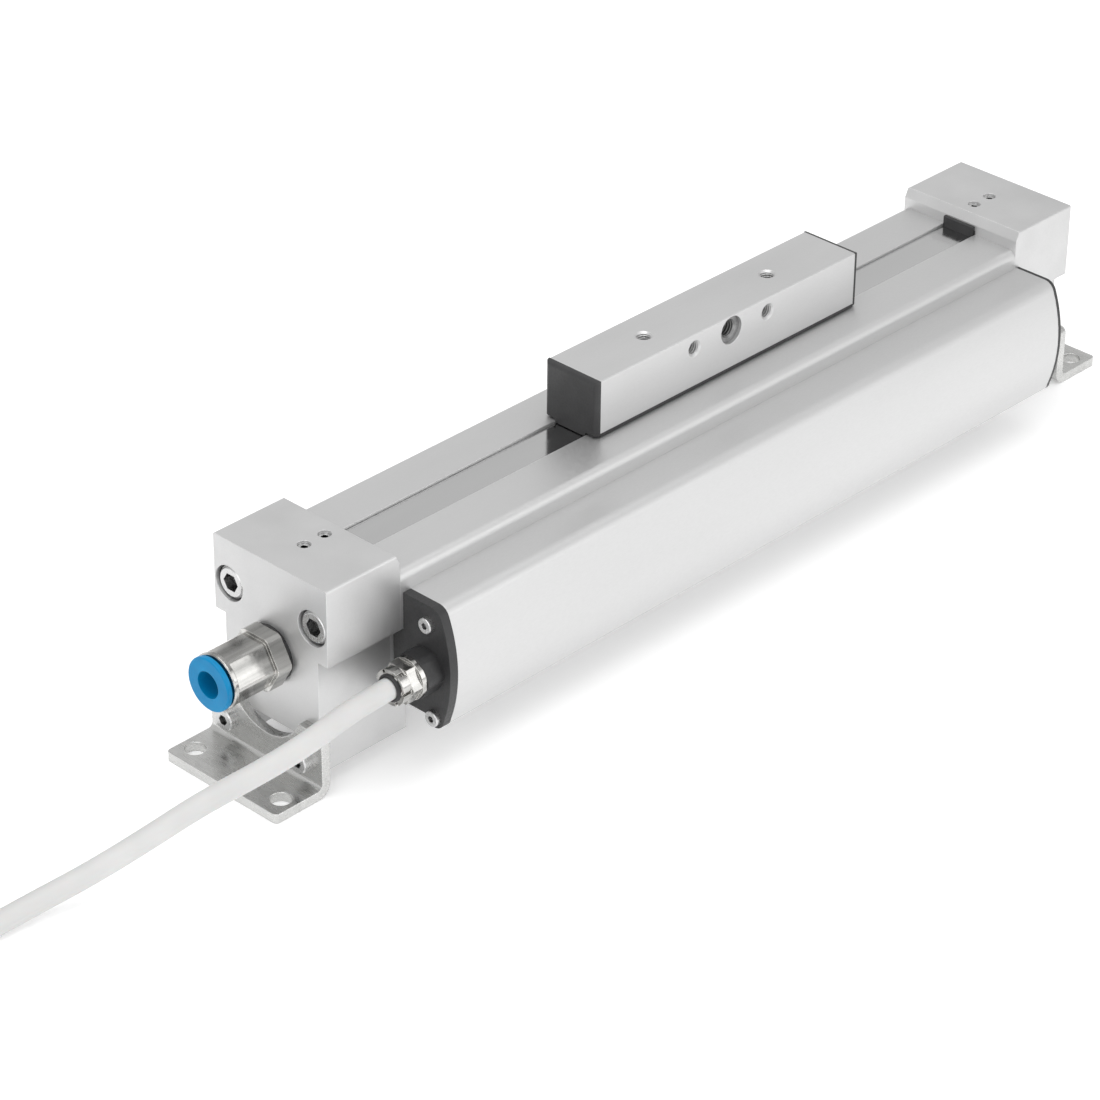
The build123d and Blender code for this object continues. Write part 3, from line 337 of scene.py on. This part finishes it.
def makeFinish(name, look):
    material = bpy.data.materials.new(name)
    material.use_nodes = True
    tree = material.node_tree
    link = tree.links.new
    shader = tree.nodes["Principled BSDF"]
    tone = placeGroup(
        tree, "tone",
        Dark=(*look["dark"], 1), Light=(*look["light"], 1),
        Scale=look["toneScale"], Stretch=look.get("toneStretch", (1, 1, 1)),
    )
    grain = placeGroup(
        tree, "grain",
        Scale=look["grainScale"], Stretch=look.get("grainStretch", (1, 1, 1)),
    )
    edges = placeGroup(tree, "edges", Radius=look["edgeRadius"])
    colour = tone.outputs["Color"]

    if "crystalScale" in look:  # patches that lighten and darken the colour
        patches = placeGroup(tree, "crystals", Scale=look["crystalScale"], Stretch=look["crystalStretch"])
        mix = tree.nodes.new("ShaderNodeMix")
        mix.data_type = "RGBA"
        mix.inputs["B"].default_value = (*look["crystalColour"], 1)
        link(spreadTo(tree, patches.outputs[0], 0, look["crystalAmount"]), mix.inputs["Factor"])
        link(colour, mix.inputs["A"])
        colour = mix.outputs["Result"]

    # edges lightened towards the edge colour: partly wear, partly a painted highlight along the edges
    edgeWearAndHighlight = tree.nodes.new("ShaderNodeMix")
    edgeWearAndHighlight.data_type = "RGBA"
    edgeWearAndHighlight.inputs["B"].default_value = (*look["edgeWearAndHighlightColour"], 1)
    link(spreadTo(tree, edges.outputs["Mask"], 0, look["edgeWearAndHighlightAmount"]), edgeWearAndHighlight.inputs["Factor"])
    link(colour, edgeWearAndHighlight.inputs["A"])
    colour = edgeWearAndHighlight.outputs["Result"]

    # painted shade: sockets and holes are darkened towards the shade colour wherever ambient occlusion
    # finds them hollow
    if "shadeReach" in look:
        paintedShadeMask = placeGroup(tree, "cavityShade", Reach=look["shadeReach"])
        shaded = tree.nodes.new("ShaderNodeMix")
        shaded.data_type = "RGBA"
        shaded.inputs["B"].default_value = (*look["paintedShadeColour"], 1)
        link(paintedShadeMask.outputs[0], shaded.inputs["Factor"])
        link(colour, shaded.inputs["A"])
        colour = shaded.outputs["Result"]
    link(colour, shader.inputs["Base Color"])

    rough = spreadTo(tree, grain.outputs[0], look["roughLow"], look["roughHigh"])
    link(rough, shader.inputs["Roughness"])
    bump = tree.nodes.new("ShaderNodeBump")
    bump.inputs["Strength"].default_value = look["bumpStrength"]
    bump.inputs["Distance"].default_value = look["bumpDistance"]
    link(grain.outputs[0], bump.inputs["Height"])
    link(edges.outputs["Normal"], bump.inputs["Normal"])
    link(bump.outputs[0], shader.inputs["Normal"])
    for socket, value in look.get("fixed", {}).items():
        shader.inputs[socket].default_value = value
    return material


# finishes, one for each material of the record
# the edge colour of each finish is partly wear and partly a painted edge highlight; the shade colour is
# painted shade in sockets and holes
finishLooks = {
    "anodised": {
        "dark": (0.61, 0.61, 0.61), "light": (0.65, 0.65, 0.65),
        "toneScale": 30, "toneStretch": (0.15, 1, 1),
        "grainScale": 2600, "grainStretch": (0.25, 1, 1), "roughLow": 0.40, "roughHigh": 0.52,
        "bumpStrength": 0.12, "bumpDistance": 0.00005,
        "edgeRadius": 0.0003, "edgeWearAndHighlightColour": (0.80, 0.80, 0.80), "edgeWearAndHighlightAmount": 0.5,
        "fixed": {"Metallic": 0.85},
    },
    "cap_metal": {
        "dark": (0.60, 0.60, 0.60), "light": (0.67, 0.67, 0.67), "toneScale": 45,
        "grainScale": 2200, "roughLow": 0.38, "roughHigh": 0.50,
        "bumpStrength": 0.15, "bumpDistance": 0.00005,
        "edgeRadius": 0.0004, "edgeWearAndHighlightColour": (0.82, 0.82, 0.82), "edgeWearAndHighlightAmount": 0.6,
        "fixed": {"Metallic": 0.85},
    },
    "carriage_metal": {
        "dark": (0.63, 0.63, 0.63), "light": (0.68, 0.68, 0.68),
        "toneScale": 60, "toneStretch": (0.3, 1, 1),
        "grainScale": 2600, "grainStretch": (0.3, 1, 1), "roughLow": 0.34, "roughHigh": 0.46,
        "bumpStrength": 0.14, "bumpDistance": 0.00005,
        "edgeRadius": 0.0003, "edgeWearAndHighlightColour": (0.82, 0.82, 0.82), "edgeWearAndHighlightAmount": 0.6,
        "fixed": {"Metallic": 0.85},
    },
    "screw_steel": {
        "dark": (0.60, 0.60, 0.60), "light": (0.68, 0.68, 0.68), "toneScale": 160,
        "grainScale": 1800, "roughLow": 0.24, "roughHigh": 0.34,
        "bumpStrength": 0.08, "bumpDistance": 0.00004,
        # painted shade: the socket of each screw head is darkened by the shade colour
        "shadeReach": 0.005, "paintedShadeColour": (0.03, 0.03, 0.03),
        "edgeRadius": 0.0002, "edgeWearAndHighlightColour": (0.80, 0.80, 0.80), "edgeWearAndHighlightAmount": 0.6,
        "fixed": {"Metallic": 1.0},
    },
    "dark_steel": {
        "dark": (0.22, 0.22, 0.22), "light": (0.34, 0.34, 0.34), "toneScale": 300,
        "grainScale": 1800, "roughLow": 0.26, "roughHigh": 0.40,
        "bumpStrength": 0.1, "bumpDistance": 0.00005,
        # painted shade: the hollow of the bush is darkened by the shade colour
        "shadeReach": 0.002, "paintedShadeColour": (0.03, 0.03, 0.03),
        "edgeRadius": 0.0002, "edgeWearAndHighlightColour": (0.60, 0.60, 0.60), "edgeWearAndHighlightAmount": 0.6,
        "fixed": {"Metallic": 1.0},
    },
    "band_steel": {
        "dark": (0.58, 0.58, 0.58), "light": (0.64, 0.64, 0.64),
        "toneScale": 40, "toneStretch": (0.1, 1, 1),
        "grainScale": 1500, "grainStretch": (0.02, 1, 1), "roughLow": 0.10, "roughHigh": 0.18,
        "bumpStrength": 0.05, "bumpDistance": 0.00003,
        "edgeRadius": 0.0001, "edgeWearAndHighlightColour": (0.75, 0.75, 0.76), "edgeWearAndHighlightAmount": 0.3,
        "fixed": {"Metallic": 1.0},
    },
    "seal_rubber": {
        "dark": (0.012, 0.012, 0.013), "light": (0.022, 0.022, 0.023), "toneScale": 120,
        "grainScale": 1400, "roughLow": 0.55, "roughHigh": 0.72,
        "bumpStrength": 0.2, "bumpDistance": 0.00008,
        "edgeRadius": 0.0001, "edgeWearAndHighlightColour": (0.04, 0.04, 0.04), "edgeWearAndHighlightAmount": 0.4,
        "fixed": {"Sheen Weight": 0.1},
    },
    "black_plastic": {
        "dark": (0.020, 0.020, 0.021), "light": (0.034, 0.034, 0.035), "toneScale": 90,
        "grainScale": 1700, "roughLow": 0.38, "roughHigh": 0.55,
        "bumpStrength": 0.25, "bumpDistance": 0.00006,
        "edgeRadius": 0.0003, "edgeWearAndHighlightColour": (0.05, 0.05, 0.052), "edgeWearAndHighlightAmount": 0.6,
        "fixed": {"IOR": 1.5},
    },
    "magnet": {
        "dark": (0.05, 0.05, 0.055), "light": (0.11, 0.11, 0.12), "toneScale": 260,
        "grainScale": 1600, "roughLow": 0.5, "roughHigh": 0.75,
        "bumpStrength": 0.3, "bumpDistance": 0.0001,
        "edgeRadius": 0.0002, "edgeWearAndHighlightColour": (0.25, 0.25, 0.26), "edgeWearAndHighlightAmount": 0.6,
        "fixed": {"Metallic": 0.8},
    },
    "nickel": {
        "dark": (0.30, 0.30, 0.29), "light": (0.70, 0.69, 0.67),
        "toneScale": 260, "toneStretch": (0.06, 1, 1),
        "grainScale": 900, "roughLow": 0.12, "roughHigh": 0.22,
        "bumpStrength": 0.08, "bumpDistance": 0.00005,
        "edgeRadius": 0.0003, "edgeWearAndHighlightColour": (0.88, 0.86, 0.82), "edgeWearAndHighlightAmount": 0.5,
        "fixed": {"Metallic": 1.0},
    },
    "blue_plastic": {
        "dark": (0.0, 0.19, 0.42), "light": (0.0, 0.24, 0.50), "toneScale": 150,
        "grainScale": 1500, "roughLow": 0.30, "roughHigh": 0.42,
        "bumpStrength": 0.1, "bumpDistance": 0.00005,
        "edgeRadius": 0.0003, "edgeWearAndHighlightColour": (0.02, 0.36, 0.68), "edgeWearAndHighlightAmount": 0.6,
        # painted shade: hollows and the bore of the ring are darkened by the shade colour
        "shadeReach": 0.006, "paintedShadeColour": (0.0, 0.03, 0.10),
        "fixed": {"IOR": 1.4, "Specular IOR Level": 0.35},
    },
    "zinc_steel": {
        "dark": (0.52, 0.52, 0.51), "light": (0.66, 0.66, 0.65),
        "toneScale": 60, "toneStretch": (1, 0.15, 1),
        "grainScale": 1200, "grainStretch": (1, 0.12, 1), "roughLow": 0.20, "roughHigh": 0.34,
        "bumpStrength": 0.10, "bumpDistance": 0.00006,
        "crystalScale": 700, "crystalStretch": (1, 0.4, 1),
        "crystalColour": (0.74, 0.74, 0.73), "crystalAmount": 0.3,
        "edgeRadius": 0.0004, "edgeWearAndHighlightColour": (0.92, 0.92, 0.91), "edgeWearAndHighlightAmount": 0.9,
        "fixed": {"Metallic": 1.0},
    },
    "sensor_brass": {
        "dark": (0.48, 0.36, 0.16), "light": (0.62, 0.47, 0.22), "toneScale": 90,
        "grainScale": 1500, "grainStretch": (0.1, 1, 1), "roughLow": 0.25, "roughHigh": 0.4,
        "bumpStrength": 0.1, "bumpDistance": 0.00005,
        "edgeRadius": 0.0002, "edgeWearAndHighlightColour": (0.8, 0.66, 0.36), "edgeWearAndHighlightAmount": 0.5,
        "fixed": {"Metallic": 1.0},
    },
    "board": {
        "dark": (0.008, 0.10, 0.04), "light": (0.02, 0.17, 0.07), "toneScale": 500,
        "grainScale": 1300, "roughLow": 0.25, "roughHigh": 0.45,
        "bumpStrength": 0.2, "bumpDistance": 0.00005,
        "edgeRadius": 0.0001, "edgeWearAndHighlightColour": (0.4, 0.36, 0.2), "edgeWearAndHighlightAmount": 0.7,
        "fixed": {"IOR": 1.5},
    },
    "cable_jacket": {
        "dark": (0.57, 0.57, 0.565), "light": (0.62, 0.62, 0.615), "toneScale": 60,
        "grainScale": 1300, "roughLow": 0.42, "roughHigh": 0.56,
        "bumpStrength": 0.12, "bumpDistance": 0.00008,
        "edgeRadius": 0.0001, "edgeWearAndHighlightColour": (0.66, 0.66, 0.65), "edgeWearAndHighlightAmount": 0.3,
        "fixed": {"IOR": 1.48, "Subsurface Weight": 0.1, "Subsurface Scale": 0.002},
    },
}
finishes = {name: makeFinish(name + "Finish", look) for name, look in finishLooks.items()}

ownFinishes = {"carriage_bush": "dark_steel"}  # nodes that look different from the rest of their slot
for part in frame["record"]["subparts"]:
    mesh = nodes[part["node"]].data
    mesh.materials.clear()
    mesh.materials.append(finishes[ownFinishes.get(part["node"], part["material_slot"])])
print("finishes given to the frame's nodes")

# encoder cable: route from the gland to the floor, coil, and the end with the connector
cableSetup = {
    "radius": 0.00325,
    "length": 1.39,
    "roundness": 6,  # steps round the jacket, in a quarter turn
    "smoothness": 6,  # steps between two points of the route
    "lead": [
        (-0.1447, -0.0315, 0.0325), (-0.160, -0.0315, 0.0325), (-0.180, -0.0336, 0.0312),
        (-0.1947, -0.0312, 0.0280), (-0.211, -0.0248, 0.0225), (-0.2264, -0.0192, 0.0156),
        (-0.241, -0.0134, 0.0092), (-0.256, -0.0084, 0.0049), (-0.277, -0.0066, 0.00325),
        (-0.298, -0.0066, 0.00325),
    ],
    "coilCentre": (-0.322, 0.02965),
    "coilRadius": 0.033,
    "pull": 1.012,  # the curve runs a little inside its control points
    "pointsPerTurn": 20,
    # column (1 outer, -1 inner), layer and number of points, in the order that the turns are wound
    "turns": [(1, 0, 18), (-1, 0, 18), (-1, 1, 18), (-1, 2, 19), (1, 2, 19), (1, 1, 19)],
    "tail": [
        (-0.298, 0.0659, 0.00975), (-0.2865, 0.0659, 0.00975),
        (-0.2745, 0.0640, 0.0070), (-0.263, 0.0626, 0.0070),
    ],
}


def coilPoints(setup):
    # clockwise from where the lead comes in, easing over from one turn's place to the next one's
    places = [(column, layer) for column, layer, count in setup["turns"] for _ in range(count)]
    radius = setup["radius"]
    points = []
    for i in range(len(places)):
        near = places[max(i - 1, 0):i + 2]
        column = sum(place[0] for place in near) / len(near)
        layer = sum(place[1] for place in near) / len(near)
        angle = -math.pi / 2 - 2 * math.pi * i / setup["pointsPerTurn"]
        around = (setup["coilRadius"] + column * radius) * setup["pull"]
        points.append((
            setup["coilCentre"][0] + around * math.cos(angle),
            setup["coilCentre"][1] + around * math.sin(angle),
            (2 * layer + 1) * radius,
        ))
    return points


def makeCable(setup):
    route = setup["lead"] + coilPoints(setup) + setup["tail"]
    curve = bpy.data.curves.new("encoderCable", "CURVE")
    curve.dimensions = "3D"
    curve.bevel_depth = setup["radius"]
    curve.bevel_resolution = setup["roundness"]
    curve.resolution_u = setup["smoothness"]
    curve.use_fill_caps = True
    spline = curve.splines.new("NURBS")
    spline.points.add(len(route) - 1)
    for point, place in zip(spline.points, route):
        point.co = (*place, 1)
    spline.order_u = 3
    spline.use_endpoint_u = True
    curve.materials.append(finishes["cable_jacket"])
    cable = bpy.data.objects.new("encoderCable", curve)
    bpy.context.scene.collection.objects.link(cable)
    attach(cable, "cylinder")
    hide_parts("encoder_cable", "cable_coil", "cable_tail")


makeCable(cableSetup)
print("cable laid")

# bands: flat strips that run from cap to cap, under the carriage too
bandSetup = {
    "coverBand": {
        "replaces": "cover_band", "slot": "band_steel", "halfLength": 0.1519, "halfWidth": 0.0059,
        "low": 0.0580, "high": 0.0584, "bevel": 0.0001, "bevelSteps": 2,
    },
    "sealBand": {
        "replaces": "seal_band", "slot": "seal_rubber", "halfLength": 0.13485, "halfWidth": 0.004,
        "low": 0.04925, "high": 0.05005, "bevel": 0.0001, "bevelSteps": 2,
    },
}


def makeBand(name, setup):
    x, y = setup["halfLength"], setup["halfWidth"]
    around = ((-1, -1), (1, -1), (1, 1), (-1, 1))
    corners = [(i * x, j * y, z) for z in (setup["low"], setup["high"]) for i, j in around]
    faces = [(3, 2, 1, 0), (4, 5, 6, 7), (0, 1, 5, 4), (1, 2, 6, 5), (2, 3, 7, 6), (3, 0, 4, 7)]
    mesh = bpy.data.meshes.new(name)
    mesh.from_pydata(corners, [], faces)
    mesh.materials.append(finishes[setup["slot"]])
    band = bpy.data.objects.new(name, mesh)
    bpy.context.scene.collection.objects.link(band)
    rounding = band.modifiers.new("rounding", "BEVEL")
    rounding.width = setup["bevel"]
    rounding.segments = setup["bevelSteps"]
    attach(band, "cylinder")
    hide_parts(setup["replaces"])


for name, setup in bandSetup.items():
    makeBand(name, setup)
print("bands laid")


# pieces grown by geometry nodes
def newGrowth(name, inputs):
    # a geometry node tree with its inputs and its output
    tree = bpy.data.node_groups.new(name, "GeometryNodeTree")
    tree.interface.new_socket("Geometry", in_out="OUTPUT", socket_type="NodeSocketGeometry")
    for label, kind in inputs:
        tree.interface.new_socket(label, in_out="INPUT", socket_type=kind)
    entry = tree.nodes.new("NodeGroupInput").outputs
    result = tree.nodes.new("NodeGroupOutput").inputs
    return tree, entry, result


def endGrowth(tree, geometry, entry, result):
    smooth = tree.nodes.new("GeometryNodeSetShadeSmooth")
    plain = tree.nodes.new("GeometryNodeRealizeInstances")
    paint = tree.nodes.new("GeometryNodeSetMaterial")
    link = tree.links.new
    link(geometry, smooth.inputs["Geometry"])
    link(smooth.outputs[0], plain.inputs["Geometry"])
    link(plain.outputs[0], paint.inputs["Geometry"])
    link(entry["Material"], paint.inputs["Material"])
    link(paint.outputs[0], result["Geometry"])


def growMesh(tree, values):
    # evaluates the tree once and gives back a plain mesh
    holder = bpy.data.objects.new("grower", bpy.data.meshes.new("grower"))
    bpy.context.scene.collection.objects.link(holder)
    growth = holder.modifiers.new("growth", "NODES")
    growth.node_group = tree
    for item in tree.interface.items_tree:
        if item.in_out == "INPUT" and item.name in values:
            growth[item.identifier] = values[item.name]
    holder.update_tag()
    bpy.context.view_layer.update()
    graph = bpy.context.evaluated_depsgraph_get()
    mesh = bpy.data.meshes.new_from_object(holder.evaluated_get(graph))
    bpy.data.objects.remove(holder)
    return mesh


def joinMeshes(name, parts, body, finish):
    # one piece out of several meshes, each with its own place
    joined = bmesh.new()
    for mesh, place in parts:
        mesh.transform(place)
        joined.from_mesh(mesh)
    bmesh.ops.recalc_face_normals(joined, faces=joined.faces)
    result = bpy.data.meshes.new(name)
    joined.to_mesh(result)
    joined.free()
    result.materials.append(finishes[finish])
    piece = bpy.data.objects.new(name, result)
    bpy.context.scene.collection.objects.link(piece)
    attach(piece, body)
    return piece


ridgeSteps = {"perTurn": 28, "around": 6}


def makeThreadTree():
    # a ridge wound as a screw thread, from the mouth of a hole inwards
    tree, entry, result = newGrowth("threadRidge", [
        ("Radius", "NodeSocketFloat"), ("Turns", "NodeSocketFloat"), ("Depth", "NodeSocketFloat"),
        ("Ridge", "NodeSocketFloat"), ("Material", "NodeSocketMaterial"),
    ])
    spiral = tree.nodes.new("GeometryNodeCurveSpiral")
    spiral.inputs["Resolution"].default_value = ridgeSteps["perTurn"]
    outline = tree.nodes.new("GeometryNodeCurvePrimitiveCircle")
    outline.inputs["Resolution"].default_value = ridgeSteps["around"]
    body = tree.nodes.new("GeometryNodeCurveToMesh")
    body.inputs["Fill Caps"].default_value = True
    link = tree.links.new
    link(entry["Turns"], spiral.inputs["Rotations"])
    link(entry["Radius"], spiral.inputs["Start Radius"])
    link(entry["Radius"], spiral.inputs["End Radius"])
    link(entry["Depth"], spiral.inputs["Height"])
    link(entry["Ridge"], outline.inputs["Radius"])
    link(spiral.outputs["Curve"], body.inputs["Curve"])
    link(outline.outputs["Curve"], body.inputs["Profile Curve"])
    endGrowth(tree, body.outputs["Mesh"], entry, result)
    return tree


threadSetup = {
    "carriageThreads": {
        "body": "carriage", "slot": "carriage_metal", "ridge": 0.00018, "pitch": 0.0008, "holes": [
            # mouth of the hole, way in, radius, depth
            ((-0.0133, 0.0, 0.0771), (0, 0, -1), 0.0021, 0.0062),
            ((0.0413, 0.0, 0.0771), (0, 0, -1), 0.0021, 0.0062),
            ((-0.0022, -0.00955, 0.0730), (0, 1, 0), 0.0021, 0.0062),
            ((0.0302, -0.00955, 0.0730), (0, 1, 0), 0.0021, 0.0062),
        ],
    },
    "bushThread": {
        "body": "carriage", "slot": "screw_steel", "finish": "dark_steel",
        "ridge": 0.0002, "pitch": 0.001, "holes": [
            ((0.0140, -0.0082, 0.0730), (0, 1, 0), 0.0025, 0.0055),
        ],
    },
    "rearPortThread": {
        "body": "cylinder", "slot": "cap_metal", "ridge": 0.00025, "pitch": 0.0013, "holes": [
            ((0.1620, 0.0, 0.0367), (-1, 0, 0), 0.0059, 0.0115),
        ],
    },
}


def makeThreads(name, setup, tree):
    finish = setup.get("finish", setup["slot"])
    parts = []
    for mouth, inwards, radius, depth in setup["holes"]:
        mesh = growMesh(tree, {
            "Radius": radius, "Turns": depth / setup["pitch"], "Depth": depth,
            "Ridge": setup["ridge"], "Material": finishes[finish],
        })
        turned = Vector(inwards).to_track_quat("Z", "Y").to_matrix().to_4x4()
        parts.append((mesh, Matrix.Translation(mouth) @ turned))
    joinMeshes(name, parts, setup["body"], finish)


threadTree = makeThreadTree()
for name, setup in threadSetup.items():
    makeThreads(name, setup, threadTree)
print("threads wound")

# rubber lip where the cable leaves the gland
lipSetup = {
    "slot": "seal_rubber", "centre": (-0.1479, -0.0315, 0.0325), "steps": 48,
    # distance outwards from the nut's mouth, and radius
    "profile": [
        (-0.0004, 0.00329), (0.0006, 0.00329), (0.0009, 0.00350),
        (0.0008, 0.0038), (0.0003, 0.0042), (-0.0004, 0.0042),
    ],
}


def makeLip(setup):
    lip = bmesh.new()
    x, y, z = setup["centre"]
    ring = [lip.verts.new((x - out, y + radius, z)) for out, radius in setup["profile"]]
    edges = [lip.edges.new((a, b)) for a, b in zip(ring, ring[1:] + ring[:1])]
    bmesh.ops.spin(
        lip, geom=ring + edges, cent=setup["centre"], axis=(1, 0, 0),
        angle=2 * math.pi, steps=setup["steps"], use_merge=True,
    )
    bmesh.ops.recalc_face_normals(lip, faces=lip.faces)
    mesh = bpy.data.meshes.new("glandLip")
    lip.to_mesh(mesh)
    lip.free()
    mesh.shade_smooth()
    mesh.materials.append(finishes[setup["slot"]])
    piece = bpy.data.objects.new("glandLip", mesh)
    bpy.context.scene.collection.objects.link(piece)
    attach(piece, "cylinder")


makeLip(lipSetup)

# heads and tails of the ties round the coil
tieSetup = {
    "slot": "black_plastic", "angles": (20, 200), "centre": (-0.322, 0.02965), "reach": 0.0395,
    "bevel": 0.0003, "bevelSteps": 3,
    # middle (outwards, along, up) and size of each block of a head
    "blocks": [
        ((0.0016, 0.0, 0.0125), (0.0032, 0.0056, 0.0052)),
        ((0.0011, 0.0, 0.0082), (0.0010, 0.0036, 0.0050)),
        ((0.0021, 0.0, 0.0160), (0.0010, 0.0036, 0.0030)),
    ],
}


def makeTieHeads(setup):
    heads = bmesh.new()
    for angle in setup["angles"]:
        turned = Matrix.Rotation(math.radians(angle), 4, "Z")
        place = Matrix.Translation((*setup["centre"], 0)) @ turned
        for (out, along, up), size in setup["blocks"]:
            middle = Matrix.Translation((setup["reach"] + out, along, up))
            bmesh.ops.create_cube(heads, size=1.0, matrix=place @ middle @ Matrix.Diagonal((*size, 1)))
    bmesh.ops.recalc_face_normals(heads, faces=heads.faces)
    mesh = bpy.data.meshes.new("tieHeads")
    heads.to_mesh(mesh)
    heads.free()
    mesh.materials.append(finishes[setup["slot"]])
    piece = bpy.data.objects.new("tieHeads", mesh)
    bpy.context.scene.collection.objects.link(piece)
    rounding = piece.modifiers.new("rounding", "BEVEL")
    rounding.width = setup["bevel"]
    rounding.segments = setup["bevelSteps"]
    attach(piece, "cylinder")


makeTieHeads(tieSetup)
print("lip and ties made")
